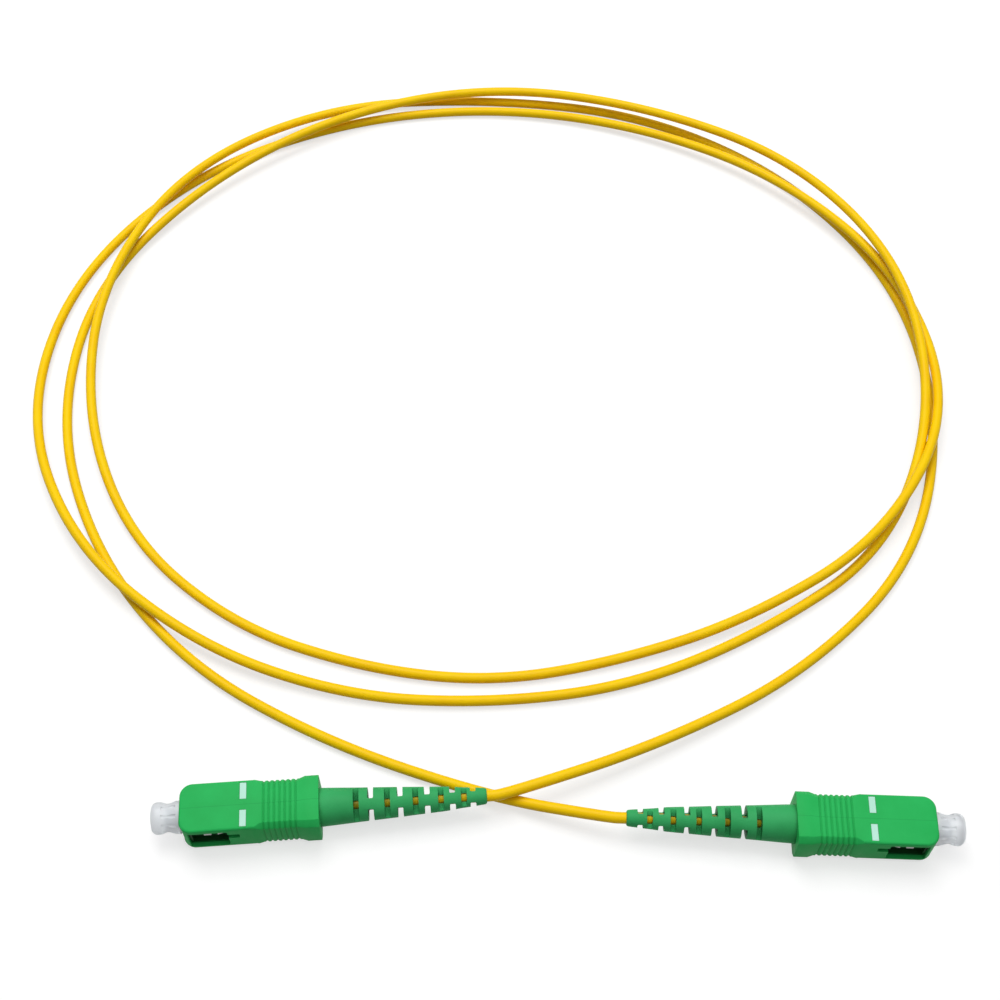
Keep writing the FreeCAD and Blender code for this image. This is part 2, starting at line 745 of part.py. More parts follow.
# The cord's centreline, starting and ending the given distance inside the boots
def centreline(inside):
    leftTip, leftOut = plugFrame("left")
    rightTip, rightOut = plugFrame("right")
    lead = size["straightLead"].value
    leftEnd = leftTip - leftOut * lead
    rightEnd = rightTip - rightOut * lead
    marks = [(leftEnd, leftOut * -1)] + withTravel(leftEnd, coilPoints(), rightEnd) + [(rightEnd, rightOut)]
    edges = [Part.LineSegment(leftTip + leftOut * inside, marks[0][0]).toShape()]
    radii = []
    for first, second in zip(marks, marks[1:]):
        arcs, found = biarc(first, second)
        edges += arcs
        radii += found
    edges.append(Part.LineSegment(marks[-1][0], rightTip + rightOut * inside).toShape())
    return Part.Wire(edges), radii


def pipe(wire, radius):
    first = wire.Edges[0]
    start = first.valueAt(first.FirstParameter)
    travel = first.tangentAt(first.FirstParameter)
    ring = Part.Wire(Part.Circle(start, travel, radius).toShape())
    return wire.makePipeShell([ring], True, False)


def tube(name, wire, outer, inner):
    shape = pipe(wire, outer)
    if inner:
        shape = shape.cut(pipe(wire, inner))
    ideal = math.pi * (outer ** 2 - inner ** 2) * wire.Length
    print("%s: length %.1f volume %.1f of %.1f" % (name, wire.Length, shape.Volume, ideal))
    item = newObject("Part::Feature", name)
    item.Shape = shape
    item.Placement = FreeCAD.Placement()
    return item


# Least distance between the cord's surface and itself, measured on points along the centreline
def leastGap(wire, radius):
    points = wire.discretize(Number=1400)
    step = wire.Length / 1399
    apart = int(60 / step)
    least = 1e9
    for index, point in enumerate(points):
        for other in points[index + apart:]:
            least = min(least, point.distanceToPoint(other))
    return least - 2 * radius


cordWire, cordRadii = centreline(jacketEnd.value)
fibreWire, fibreRadii = centreline(fibreEnd.value)
print("coil radii: " + ", ".join("%.0f" % radius for radius in cordRadii))
print("least gap of the cord to itself: %.2f" % leastGap(cordWire, size["jacketRadius"].value))
jacket = tube("CableJacket", cordWire, size["jacketRadius"].value, size["jacketBore"].value)
yarnTube = tube("YarnTube", cordWire, size["yarnRadius"].value, size["yarnBore"].value)
fibre = tube("BufferedFibre", fibreWire, size["fibreRadius"].value, 0)

pieces = {"cable_jacket": jacket, "buffered_fibre": fibre}
yarnParts = [yarnTube]
for end, side in (("a", "left"), ("b", "right")):
    tag = end.upper() * 2
    grip, marks = makeGrip(tag)
    made = {
        "grip": grip,
        "grip_marks": marks,
        "plug_frame": makeFrame(tag),
        "ferrule": makeFerrule(tag),
        "ferrule_flange": makeFlange(tag),
        "ferrule_spring": makeSpring(tag),
        "stop_ring": makeStopRing(tag),
        "crimp_sleeve": makeCrimp(tag),
        "boot": makeBoot(tag, side),
        "dust_cap": makeCap(tag),
        "glass_fibre": makeGlass(tag),
    }
    for name, item in made.items():
        pieces[name + "_" + end] = sitAtEnd(item, name + "_" + end, side)
    yarnParts.append(sitAtEnd(makeYarnFlare(tag), "yarn_flare_" + end, side))
pieces["aramid_yarn"] = fused("AramidYarn", yarnParts)
for name, item in pieces.items():
    item.Label = name
doc.recompute()

# Every object is sound before anything is written
for item in doc.Objects:
    for word in item.State:
        if word in ("Invalid", "Error"):
            raise RuntimeError("%s is %s" % (item.Name, word))
for name, item in pieces.items():
    if item.Shape.isNull() or not item.Shape.isValid():
        raise RuntimeError(name + " has no sound shape")
for name, item in sorted(pieces.items()):
    box = item.Shape.BoundBox
    place = (len(item.Shape.Solids), item.Shape.Volume, box.XMin, box.XMax, box.YMin, box.YMax, box.ZMin, box.ZMax)
    print(name, "solids %d volume %.2f x %.2f %.2f y %.2f %.2f z %.2f %.2f" % place)
    item.Shape.exportStep("parts/%s.step" % name)
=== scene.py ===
import bpy
import bmesh
import json
import math
from mathutils import Matrix, Vector


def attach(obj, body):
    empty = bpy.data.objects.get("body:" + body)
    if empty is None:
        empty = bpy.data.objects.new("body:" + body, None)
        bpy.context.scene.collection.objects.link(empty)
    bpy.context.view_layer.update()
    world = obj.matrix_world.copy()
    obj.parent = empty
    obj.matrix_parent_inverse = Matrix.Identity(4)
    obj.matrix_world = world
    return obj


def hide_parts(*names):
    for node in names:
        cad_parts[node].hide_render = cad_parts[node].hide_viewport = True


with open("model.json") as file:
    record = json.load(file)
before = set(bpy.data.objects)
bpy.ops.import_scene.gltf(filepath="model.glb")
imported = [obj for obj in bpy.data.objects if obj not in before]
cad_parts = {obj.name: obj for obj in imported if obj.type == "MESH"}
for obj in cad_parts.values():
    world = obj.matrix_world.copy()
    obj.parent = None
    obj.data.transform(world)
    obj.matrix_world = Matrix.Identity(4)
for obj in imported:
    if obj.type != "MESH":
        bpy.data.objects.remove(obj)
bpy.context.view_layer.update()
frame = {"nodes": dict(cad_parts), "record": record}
nodes = frame["nodes"]
mm = 0.001
grainDepth = 0.05 * mm
past = 1.0  # how far a cutter reaches past the surface it opens, in mm
near = 0.01  # two places closer than this count as one, in mm
weld = 0.02  # points closer than this are joined, in mm
print("frame loaded with", len(nodes), "nodes")

# where each plug leaves its cable: boot tip in mm, and the way the ferrule points
plugs = {
    "a": {"tip": (-12.12, 3.95, 4.4), "yaw": 184.2, "boot twist": -22.0},
    "b": {"tip": (12.08, -0.13, 4.4), "yaw": -2.15, "boot twist": 30.0},
}

# in mm and degrees
cable = {
    "diameter": 2.0,
    "inside boot": 25.5,
    "coil centre": (-11.7, 88.75),
    "marks per turn": 16,
    "first mark": 292.5,  # degrees, just past the front of the coil
    # how far out and how high the cable lies at each mark, turn after turn
    "turns": [
        {"reach": (78.7, 81.5, 88.1, 90.9, 94.3, 94.5, 94.2, 92.8,
                   97.3, 96.4, 89.8, 81.8, 75.4, 67.8, 61.5, 59.8),
         "height": (2.6, 1.0, 1.0, 1.0, 1.0, 1.0, 1.0, 1.0,
                    1.6, 3.9, 4.1, 2.8, 1.2, 1.0, 1.0, 1.0)},
        {"reach": (60.2, 67.2, 81.0, 92.8, 94.7, 91.7, 89.5, 90.0,
                   92.0, 95.9, 97.3, 93.9, 85.5, 75.5, 67.9, 64.0),
         "height": (1.0, 2.2, 4.4, 3.9, 3.9, 3.6, 2.0, 1.0,
                    1.0, 1.0, 1.0, 1.8, 4.0, 3.0, 1.2, 1.0)},
        {"reach": (65.7, 70.6, 82.4, 89.2, 94.6, 96.1, 93.7, 94.0,
                   91.9, 90.7, 91.9, 87.5, 82.4, 79.1, 77.3, 82.1),
         "height": (1.0, 1.0, 1.0, 4.0, 6.8, 6.0, 4.6, 4.0,
                    3.8, 2.8, 1.0, 1.0, 1.0, 1.0, 1.0, 1.2)},
    ],
    "straight": 3.0,  # from a boot's tip to the first point outside it
    "length": 1.69,  # in metres, from plug to plug
    "steps between points": 24,
    "roundness": 6,
}


def toMetres(point):
    return Vector(point) * mm


# a point of a plug in mm: along it from the boot's tip, across it and up from its axis
def onPlug(end, along, across=0.0, up=0.0):
    plug = plugs[end]
    turn = Matrix.Rotation(math.radians(plug["yaw"]), 3, "Z")
    return toMetres(Vector(plug["tip"]) + turn @ Vector((along, across, up)))


def srgb(red, green, blue):
    def linear(value):
        value /= 255
        return value / 12.92 if value <= 0.04045 else ((value + 0.055) / 1.055) ** 2.4
    return (linear(red), linear(green), linear(blue), 1.0)


def newMaterial(name):
    material = bpy.data.materials.new(name)
    material.use_nodes = True
    tree = material.node_tree
    return material, tree, tree.nodes["Principled BSDF"]


def calc(tree, how, *values):
    node = tree.nodes.new("ShaderNodeMath")
    node.operation = how
    for socket, value in zip(node.inputs, values):
        if isinstance(value, (int, float)):
            socket.default_value = value
        else:
            tree.links.new(value, socket)
    return node.outputs["Value"]


# 1 where the value lies between the two limits, else 0
def between(tree, value, low, high):
    return calc(tree, "COMPARE", value, (low + high) / 2, (high - low) / 2)


def spread(tree, value, low, high, first, last):
    node = tree.nodes.new("ShaderNodeMapRange")
    for name, number in (("From Min", low), ("From Max", high), ("To Min", first), ("To Max", last)):
        node.inputs[name].default_value = number
    tree.links.new(value, node.inputs["Value"])
    return node.outputs["Result"]


def noise(tree, vector, scale, detail):
    node = tree.nodes.new("ShaderNodeTexNoise")
    node.inputs["Scale"].default_value = scale
    node.inputs["Detail"].default_value = detail
    tree.links.new(vector, node.inputs["Vector"])
    return node.outputs["Fac"]


def hollowness(tree, reach, inward=False):
    node = tree.nodes.new("ShaderNodeAmbientOcclusion")
    node.inputs["Distance"].default_value = reach * mm
    node.samples = 6
    node.inside = inward
    return node.outputs["AO"]


# lay another colour over what a material has so far
def layColour(material, amount, colour):
    tree = material.node_tree
    under = tree.nodes["Principled BSDF"].inputs["Base Color"]
    mix = tree.nodes.new("ShaderNodeMix")
    mix.data_type = "RGBA"
    tree.links.new(amount, mix.inputs[0])
    tree.links.new(under.links[0].from_socket, mix.inputs[6])
    mix.inputs[7].default_value = colour
    tree.links.new(mix.outputs[2], under)


# a noise value turned into a colour that runs from one to another over the given span
def tinted(tree, amount, span, colours):
    ramp = tree.nodes.new("ShaderNodeValToRGB")
    for element, position, colour in zip(ramp.color_ramp.elements, span, colours):
        element.position = position
        element.color = colour
    tree.links.new(amount, ramp.inputs["Fac"])
    return ramp.outputs["Color"]


# a colour with its parts made smaller by a factor and lifted by an amount
def shifted(colour, factor, lift=0.0):
    return tuple(factor * part + lift for part in colour[:3]) + (1.0,)


def grainBump(tree, shader, height, strength):
    bump = tree.nodes.new("ShaderNodeBump")
    bump.inputs["Strength"].default_value = strength
    bump.inputs["Distance"].default_value = grainDepth
    tree.links.new(height, bump.inputs["Height"])
    tree.links.new(bump.outputs["Normal"], shader.inputs["Normal"])


# how the clouds, the painted shade in hollows and the lighter edges (painted highlight and wear) of every
# moulded piece come in
moulding = {
    "cloud scale": 180,
    "cloud span": (0.3, 0.65),
    "hollow shade span": (0.1, 0.75),
    "edge wear and highlight reach": 0.12,
    "edge wear and highlight span": (0.4, 0.9),
}


# mottled colour, fine moulded grain, painted shade in hollows and faintly lighter edges (painted highlight
# and wear)
def mouldedPlastic(name, facts):
    material, tree, shader = newMaterial(name)
    place = tree.nodes.new("ShaderNodeTexCoord").outputs["Object"]
    cloud = noise(tree, place, moulding["cloud scale"], 4)
    tint = tinted(tree, cloud, moulding["cloud span"], (facts["darker"], facts["colour"]))
    tree.links.new(tint, shader.inputs["Base Color"])
    # painted shade: hollows and creases are darkened by how occluded they are
    if facts["hollow"]:
        depth = hollowness(tree, facts["reach"])
        shade = spread(tree, depth, *moulding["hollow shade span"], facts["hollow"], 0.0)
        layColour(material, shade, shifted(facts["darker"], 0.12))
    # lighter along convex edges: painted highlight, together with wear
    edges = hollowness(tree, moulding["edge wear and highlight reach"], True)
    worn_and_highlit = spread(tree, edges, *moulding["edge wear and highlight span"], facts["edge wear and highlight"], 0.0)
    layColour(material, worn_and_highlit, shifted(facts["colour"], 0.8, 0.2))
    rough = facts["roughness"]
    varied = spread(tree, cloud, 0.2, 0.8, rough - 0.06, rough + 0.08)
    tree.links.new(varied, shader.inputs["Roughness"])
    grainBump(tree, shader, noise(tree, place, facts["grain scale"], 3), facts["grain"])
    shader.inputs["Specular IOR Level"].default_value = facts["gloss"]
    return material


# the plug's own stations in millimetres, for a pattern on one end
def plugPlace(material, end):
    tree = material.node_tree
    plug = plugs[end]
    turn = tree.nodes.new("ShaderNodeMapping")
    turn.vector_type = "TEXTURE"
    turn.inputs["Location"].default_value = toMetres(plug["tip"])
    turn.inputs["Rotation"].default_value = (0, 0, math.radians(plug["yaw"]))
    turn.inputs["Scale"].default_value = (mm, mm, mm)
    axes = tree.nodes.new("ShaderNodeSeparateXYZ")
    tree.links.new(tree.nodes.new("ShaderNodeTexCoord").outputs["Object"], turn.inputs["Vector"])
    tree.links.new(turn.outputs["Vector"], axes.inputs["Vector"])
    return tree, axes.outputs


# a faint parting line along the middle of the grip, and painted shade on the floors of its grooves
def gripPlastic(end):
    seam = {"half": 0.05, "amount": 0.3, "colour": srgb(20, 120, 58)}
    groove_shade = {"half": 0.12, "margin": 0.3, "amount": 0.35, "colour": srgb(12, 120, 52)}
    material = mouldedPlastic("grip green " + end, plastics["grip"])
    tree, axes = plugPlace(material, end)
    line = between(tree, axes["Y"], -seam["half"], seam["half"])
    layColour(material, calc(tree, "MULTIPLY", line, seam["amount"]), seam["colour"])
    first, last = grip["rib grooves"][0], grip["rib grooves"][-1]
    pitch = grip["rib grooves"][1] - first
    # ten pitches are added to keep the value above zero
    shift = 0.5 * pitch - first + 10 * pitch
    step = calc(tree, "MODULO", calc(tree, "ADD", axes["X"], shift), pitch)
    # painted shade: the floors of the rib grooves are darkened
    floor = between(tree, step, 0.5 * pitch - groove_shade["half"], 0.5 * pitch + groove_shade["half"])
    ribbed = between(tree, axes["X"], first - groove_shade["margin"], last + groove_shade["margin"])
    amount = calc(tree, "MULTIPLY", calc(tree, "MULTIPLY", floor, ribbed), groove_shade["amount"])
    layColour(material, amount, groove_shade["colour"])
    return material


# yellow jacket with painted shade in the depth of the boots, darker towards the plug
def jacketPlastic():
    boot_shade = {"start": 0.8, "end": 26.0, "growth": (2, 24, 0.35, 0.8), "radius": 1.3,
           "colour": srgb(84, 104, 20)}
    material = mouldedPlastic("cable jacket", plastics["cable_jacket"])
    for end in plugs:
        tree, axes = plugPlace(material, end)
        amount = calc(tree, "MULTIPLY", between(tree, axes["X"], boot_shade["start"], boot_shade["end"]),
                      spread(tree, axes["X"], *boot_shade["growth"]))
        for across in ("Y", "Z"):
            inside = between(tree, axes[across], -boot_shade["radius"], boot_shade["radius"])
            amount = calc(tree, "MULTIPLY", amount, inside)
        # painted shade on the jacket where it runs inside the boot
        layColour(material, amount, boot_shade["colour"])
    return material


# white frame whose latch pocket and the walls around it are painted deep green: painted shade over the
# green latch ramps seen there
def framePlastic(end):
    pocket_shade = {"start": 41.7, "end": 51.9, "inner": 2.4, "outer": 3.67, "colour": srgb(6, 62, 24)}
    material = mouldedPlastic("frame white " + end, plastics["plug_frame"])
    tree, axes = plugPlace(material, end)
    side = between(tree, calc(tree, "ABSOLUTE", axes["Y"]), pocket_shade["inner"], pocket_shade["outer"])
    along = between(tree, axes["X"], pocket_shade["start"], pocket_shade["end"])
    # painted shade: dark green where the latch pocket lies in shadow
    layColour(material, calc(tree, "MULTIPLY", side, along), pocket_shade["colour"])
    return material


# plated metal, a little rougher in some spots than in others
def platedMetal(name, colour, roughness):
    material, tree, shader = newMaterial(name)
    place = tree.nodes.new("ShaderNodeTexCoord").outputs["Object"]
    spots = noise(tree, place, 900, 2)
    varied = spread(tree, spots, 0, 1, roughness - 0.08, roughness + 0.12)
    tree.links.new(varied, shader.inputs["Roughness"])
    shader.inputs["Base Color"].default_value = colour
    shader.inputs["Metallic"].default_value = 1.0
    return material


# milky see-through plastic with faint haze
def milkyPlastic(name, colour, clear, roughness):
    material, tree, shader = newMaterial(name)
    place = tree.nodes.new("ShaderNodeTexCoord").outputs["Object"]
    haze = noise(tree, place, 500, 2)
    tint = tinted(tree, haze, (0.0, 1.0), (shifted(colour, 0.93), colour))
    tree.links.new(tint, shader.inputs["Base Color"])
    varied = spread(tree, haze, 0.2, 0.8, roughness - 0.08, roughness + 0.08)
    tree.links.new(varied, shader.inputs["Roughness"])
    grainBump(tree, shader, noise(tree, place, 3000, 2), 0.08)
    shader.inputs["Transmission Weight"].default_value = clear
    shader.inputs["IOR"].default_value = 1.45
    return material


grip = {
    "back": 29.0,  # every station is counted from the boot's tip
    "front": 53.0,
    "width": 9.0,
    "height": 7.4,
    "chamfer": 1.0,
    "band end": 31.4,
    "flare end": 32.4,
    "band rise": 0.3,
    "rib grooves": [32.98 + 0.92 * step for step in range(7)],
    "groove depth": 0.15,
    "groove half": 0.25,
    "groove slope": 0.14,
    "taper": (39.0, 40.5),  # the chamfers run out here
    "nose round": 2.2,
    "nose steps": 10,
    "top round": 0.45,
    "bottom round": 0.65,
    "round steps": 4,
    "fine round": 0.09,
    "key": {"start": 41.5, "end": 51.5, "width": 2.0, "drop": 0.7, "sunk": 0.3, "round": 0.12},
    "cavity": {"start": 32.6, "width": 7.5, "height": 6.0, "overlap": 0.05},
    "rear bore": 3.4,
    "window": {"start": 44.8, "end": 51.6, "low": -2.8, "high": 2.6},
    "notch": {"start": 42.8, "end": 45.3, "low": 0.0, "high": 1.5},
    "opening round": 0.3,
    "mark": {"middle": 42.0, "width": 1.19, "inner": 0.98, "outer": 4.02, "depth": 0.31},
}

# colours, then shares from 0 to 1; the grain scale is per metre and the reach of the painted shade in
# hollows in mm
plastics = {
    "grip": {
        "colour": srgb(46, 186, 95), "darker": srgb(40, 177, 87), "roughness": 0.46, "gloss": 0.06,
        "grain": 0.12, "grain scale": 5200, "hollow": 0.75, "reach": 0.5, "edge wear and highlight": 0.12,
    },
    "boot": {
        "colour": srgb(60, 173, 102), "darker": srgb(52, 161, 92), "roughness": 0.5, "gloss": 0.08,
        "grain": 0.16, "grain scale": 4200, "hollow": 0.92, "reach": 1.3, "edge wear and highlight": 0.08,
    },
    "grip_marks": {
        "colour": srgb(194, 240, 224), "darker": srgb(182, 232, 212), "roughness": 0.5, "gloss": 0.2,
        "grain": 0.05, "grain scale": 5200, "hollow": 0.0, "reach": 0.5, "edge wear and highlight": 0.0,
    },
    "plug_frame": {
        "colour": srgb(236, 238, 234), "darker": srgb(228, 230, 226), "roughness": 0.4, "gloss": 0.3,
        "grain": 0.06, "grain scale": 5200, "hollow": 0.4, "reach": 0.6, "edge wear and highlight": 0.1,
    },
    "cable_jacket": {
        "colour": srgb(255, 211, 2), "darker": srgb(252, 202, 1), "roughness": 0.4, "gloss": 0.12,
        "grain": 0.08, "grain scale": 4200, "hollow": 0.2, "reach": 0.8, "edge wear and highlight": 0.0,
    },
    "aramid_yarn": {
        "colour": srgb(226, 196, 92), "darker": srgb(205, 172, 70), "roughness": 0.7, "gloss": 0.2,
        "grain": 0.4, "grain scale": 9000, "hollow": 0.3, "reach": 0.4, "edge wear and highlight": 0.0,
    },
    "buffered_fibre": {
        "colour": srgb(240, 240, 236), "darker": srgb(232, 232, 228), "roughness": 0.45, "gloss": 0.3,
        "grain": 0.04, "grain scale": 5200, "hollow": 0.3, "reach": 0.4, "edge wear and highlight": 0.0,
    },
    "ferrule": {
        "colour": srgb(245, 245, 241), "darker": srgb(240, 240, 236), "roughness": 0.16, "gloss": 0.5,
        "grain": 0.02, "grain scale": 5200, "hollow": 0.2, "reach": 0.4, "edge wear and highlight": 0.0,
    },
}

finishes = {name: mouldedPlastic(name.replace("_", " "), facts) for name, facts in plastics.items()
            if name not in ("grip", "plug_frame", "cable_jacket")}
finishes.update({
    "cable_jacket": jacketPlastic(),
    "dust_cap": milkyPlastic("cap milky", srgb(246, 249, 252), 0.6, 0.4),
    "glass_fibre": milkyPlastic("bare glass", srgb(240, 246, 255), 0.85, 0.12),
    "steel": platedMetal("nickel", srgb(200, 200, 202), 0.3),
    "stop_ring": platedMetal("turned ring", srgb(205, 205, 205), 0.35),
    "crimp_sleeve": platedMetal("crimped sleeve", srgb(196, 196, 198), 0.42),
})
for end in plugs:
    finishes["grip_" + end] = gripPlastic(end)
    finishes["plug_frame_" + end] = framePlastic(end)


def dressNodes():
    slots = {entry["node"]: entry["material_slot"] for entry in frame["record"]["subparts"]}
    for name, node in nodes.items():
        node.data.materials.clear()
        node.data.materials.append(finishes.get(name, finishes.get(slots[name])))
    print("materials set on", len(nodes), "nodes")


def deselectAll():
    if bpy.context.mode != "OBJECT":
        bpy.ops.object.mode_set(mode="OBJECT")
    bpy.ops.object.select_all(action="DESELECT")


# select vertices, edges or faces of the mesh in edit mode by a test on their middle
def pick(kind, test):
    bpy.ops.mesh.select_mode(type=kind)
    bpy.ops.mesh.select_all(action="DESELECT")
    mesh = bmesh.from_edit_mesh(bpy.context.object.data)
    parts = {"VERT": mesh.verts, "EDGE": mesh.edges, "FACE": mesh.faces}[kind]
    for part in parts:
        if kind == "VERT":
            found = test(part.co / mm)
        elif kind == "EDGE":
            ends = [vert.co / mm for vert in part.verts]
            found = test((ends[0] + ends[1]) / 2, (ends[1] - ends[0]).normalized())
        else:
            found = test(part.calc_center_median() / mm, part.normal)
        if found:
            part.select_set(True)
    mesh.select_flush_mode()
    bmesh.update_edit_mesh(bpy.context.object.data)


def addBlock(name, low, high):
    deselectAll()
    middle = [(a + b) / 2 * mm for a, b in zip(low, high)]
    bpy.ops.mesh.primitive_cube_add(size=1, location=middle)
    block = bpy.context.object
    block.name = name
    block.scale = [(b - a) * mm for a, b in zip(low, high)]
    bpy.ops.object.transform_apply(location=True, rotation=True, scale=True)
    return block


def addRod(name, start, end, radius, sides=64):
    deselectAll()
    bpy.ops.mesh.primitive_cylinder_add(vertices=sides, radius=radius * mm, depth=(end - start) * mm,
                                        location=((start + end) / 2 * mm, 0, 0),
                                        rotation=(0, math.pi / 2, 0))
    rod = bpy.context.object
    rod.name = name
    bpy.ops.object.transform_apply(location=True, rotation=True, scale=True)
    return rod


def bevelAll(item, width, segments, angle=30):
    soft = item.modifiers.new("soft edges", "BEVEL")
    soft.width = width * mm
    soft.segments = segments
    soft.limit_method = "ANGLE"
    soft.angle_limit = math.radians(angle)
    deselectAll()
    item.select_set(True)
    bpy.context.view_layer.objects.active = item
    bpy.ops.object.modifier_apply(modifier=soft.name)


def combine(item, tool, how):
    step = item.modifiers.new(how.lower(), "BOOLEAN")
    step.operation = how
    step.solver = "EXACT"
    step.object = tool
    deselectAll()
    item.select_set(True)
    bpy.context.view_layer.objects.active = item
    bpy.ops.object.modifier_apply(modifier=step.name)
    bpy.data.objects.remove(tool, do_unlink=True)


# the outside of a grip, drawn out station by station from its back
def gripShell(name):
    half = (grip["width"] / 2, grip["height"] / 2)
    rise = grip["band rise"]
    deselectAll()
    bpy.ops.mesh.primitive_plane_add(size=1, location=(grip["back"] * mm, 0, 0),
                                     rotation=(0, math.pi / 2, 0))
    shell = bpy.context.object
    shell.name = name
    bpy.ops.object.transform_apply(location=True, rotation=True, scale=True)
    bpy.ops.object.mode_set(mode="EDIT")
    bpy.ops.mesh.select_all(action="SELECT")
    middle = (grip["back"] * mm, 0, 0)
    bpy.ops.transform.resize(value=(1, (half[0] + rise) * 2 * mm, (half[1] + rise) * 2 * mm),
                             center_override=middle)
    bpy.ops.mesh.bevel(offset=grip["chamfer"] * mm * math.sqrt(2), affect="VERTICES",
                       offset_type="WIDTH")
    now = {"x": grip["back"], "shrink": -rise}

    # draw the end face on to a station, with the sides pulled in by the given amount
    def drawTo(x, shrink):
        wide = (half[0] - shrink) / (half[0] - now["shrink"])
        tall = (half[1] - shrink) / (half[1] - now["shrink"])
        bpy.ops.mesh.extrude_region_move(
            TRANSFORM_OT_translate={"value": ((x - now["x"]) * mm, 0, 0)})
        bpy.ops.transform.resize(value=(1, wide, tall), center_override=(x * mm, 0, 0))
        now["x"] = x
        now["shrink"] = shrink

    drawTo(grip["band end"], -rise)
    drawTo(grip["flare end"], 0)
    for place in grip["rib grooves"]:
        drawTo(place - grip["groove half"], 0)
        drawTo(place - grip["groove half"] + grip["groove slope"], grip["groove depth"])
        drawTo(place + grip["groove half"] - grip["groove slope"], grip["groove depth"])
        drawTo(place + grip["groove half"], 0)
    drawTo(grip["taper"][0], 0)
    drawTo(grip["taper"][1], 0)
    # the chamfers close to sharp corners
    end = grip["taper"][1]
    inner = [reach * (1 - grip["chamfer"] / (reach + rise)) for reach in half]
    edge = inner[1] + weld
    pick("VERT", lambda co: abs(co.x - end) < near and abs(co.z) > edge)
    bpy.ops.transform.resize(value=(1, half[0] / inner[0], 1), center_override=(0, 0, 0))
    pick("VERT", lambda co: abs(co.x - end) < near and abs(co.z) < edge)
    bpy.ops.transform.resize(value=(1, 1, half[1] / inner[1]), center_override=(0, 0, 0))
    bpy.ops.mesh.select_all(action="SELECT")
    bpy.ops.mesh.remove_doubles(threshold=weld * mm)
    pick("FACE", lambda co, normal: abs(co.x - end) < near)
    drawTo(grip["front"], 0)
    bpy.ops.mesh.select_all(action="SELECT")
    bpy.ops.mesh.normals_make_consistent(inside=False)
    # round the nose's upright corners, then the long edges above and below
    pick("EDGE", lambda co, way: abs(co.x - grip["front"]) < near and abs(way.z) > 0.9)
    bpy.ops.mesh.bevel(offset=grip["nose round"] * mm, segments=grip["nose steps"], affect="EDGES")
    for up, reach in ((1, grip["top round"]), (-1, grip["bottom round"])):
        pick("EDGE", lambda co, way: co.x > end + near and abs(co.z - up * half[1]) < near)
        bpy.ops.mesh.bevel(offset=reach * mm, segments=grip["round steps"], affect="EDGES")
    bpy.ops.object.mode_set(mode="OBJECT")
    return shell


def modelGrip():
    shell = gripShell("gripMaster")
    bevelAll(shell, grip["fine round"], 2, 25)
    half = (grip["width"] / 2, grip["height"] / 2)
    key = grip["key"]
    ridge = addBlock("key", (key["start"], -key["width"] / 2, -half[1] - key["drop"]),
                     (key["end"], key["width"] / 2, -half[1] + key["sunk"]))
    bevelAll(ridge, key["round"], 2)
    combine(shell, ridge, "UNION")
    cavity = grip["cavity"]
    wide, tall = cavity["width"] / 2, cavity["height"] / 2
    hollow = addBlock("cavity", (cavity["start"], -wide, -tall), (grip["front"] + past, wide, tall))
    combine(shell, hollow, "DIFFERENCE")
    bore = addRod("bore", grip["back"] - past, cavity["start"] + cavity["overlap"], grip["rear bore"])
    combine(shell, bore, "DIFFERENCE")
    for facts in (grip["window"], grip["notch"]):
        opening = addBlock("opening", (facts["start"], -half[0] - past, facts["low"]),
                           (facts["end"], half[0] + past, facts["high"]))
        bevelAll(opening, grip["opening round"], 3)
        combine(shell, opening, "DIFFERENCE")
    mark = grip["mark"]
    for low, high in ((mark["inner"], mark["outer"]), (-mark["outer"], -mark["inner"])):
        well = addBlock("well", (mark["middle"] - mark["width"] / 2, low, half[1] - mark["depth"]),
                        (mark["middle"] + mark["width"] / 2, high, half[1] + past))
        combine(shell, well, "DIFFERENCE")
    smoothEdges(shell, 32)
    print("grip modelled with", len(shell.data.polygons), "faces")
    return shell


def smoothEdges(item, angle):
    deselectAll()
    item.select_set(True)
    bpy.context.view_layer.objects.active = item
    bpy.ops.object.shade_smooth_by_angle(angle=math.radians(angle))


# turn a finished plug piece to its end of the cord and leave its object at the origin
def putAtEnd(item, end, twist=0.0):
    plug = plugs[end]
    turn = Matrix.Rotation(math.radians(plug["yaw"]), 4, "Z")
    spin = Matrix.Rotation(math.radians(twist), 4, "X")
    deselectAll()
    item.select_set(True)
    bpy.context.view_layer.objects.active = item
    item.matrix_world = Matrix.Translation(toMetres(plug["tip"])) @ turn @ spin
    bpy.ops.object.transform_apply(location=True, rotation=True, scale=True)


# each plug gets its own copy of a modelled piece, standing for the CAD node of that name
def copyToPlugs(master, node, body, slot, twisted=False):
    for end, plug in plugs.items():
        copy = master.copy()
        copy.data = master.data.copy()
        copy.name = "%s_%s_shell" % (node, end)
        bpy.context.scene.collection.objects.link(copy)
        putAtEnd(copy, end, plug["boot twist"] if twisted else 0.0)
        copy.data.materials.clear()
        copy.data.materials.append(finishes.get("%s_%s" % (node, end), finishes.get(slot)))
        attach(copy, body.replace("END", end))
        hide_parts("%s_%s" % (node, end))
    bpy.data.objects.remove(master, do_unlink=True)


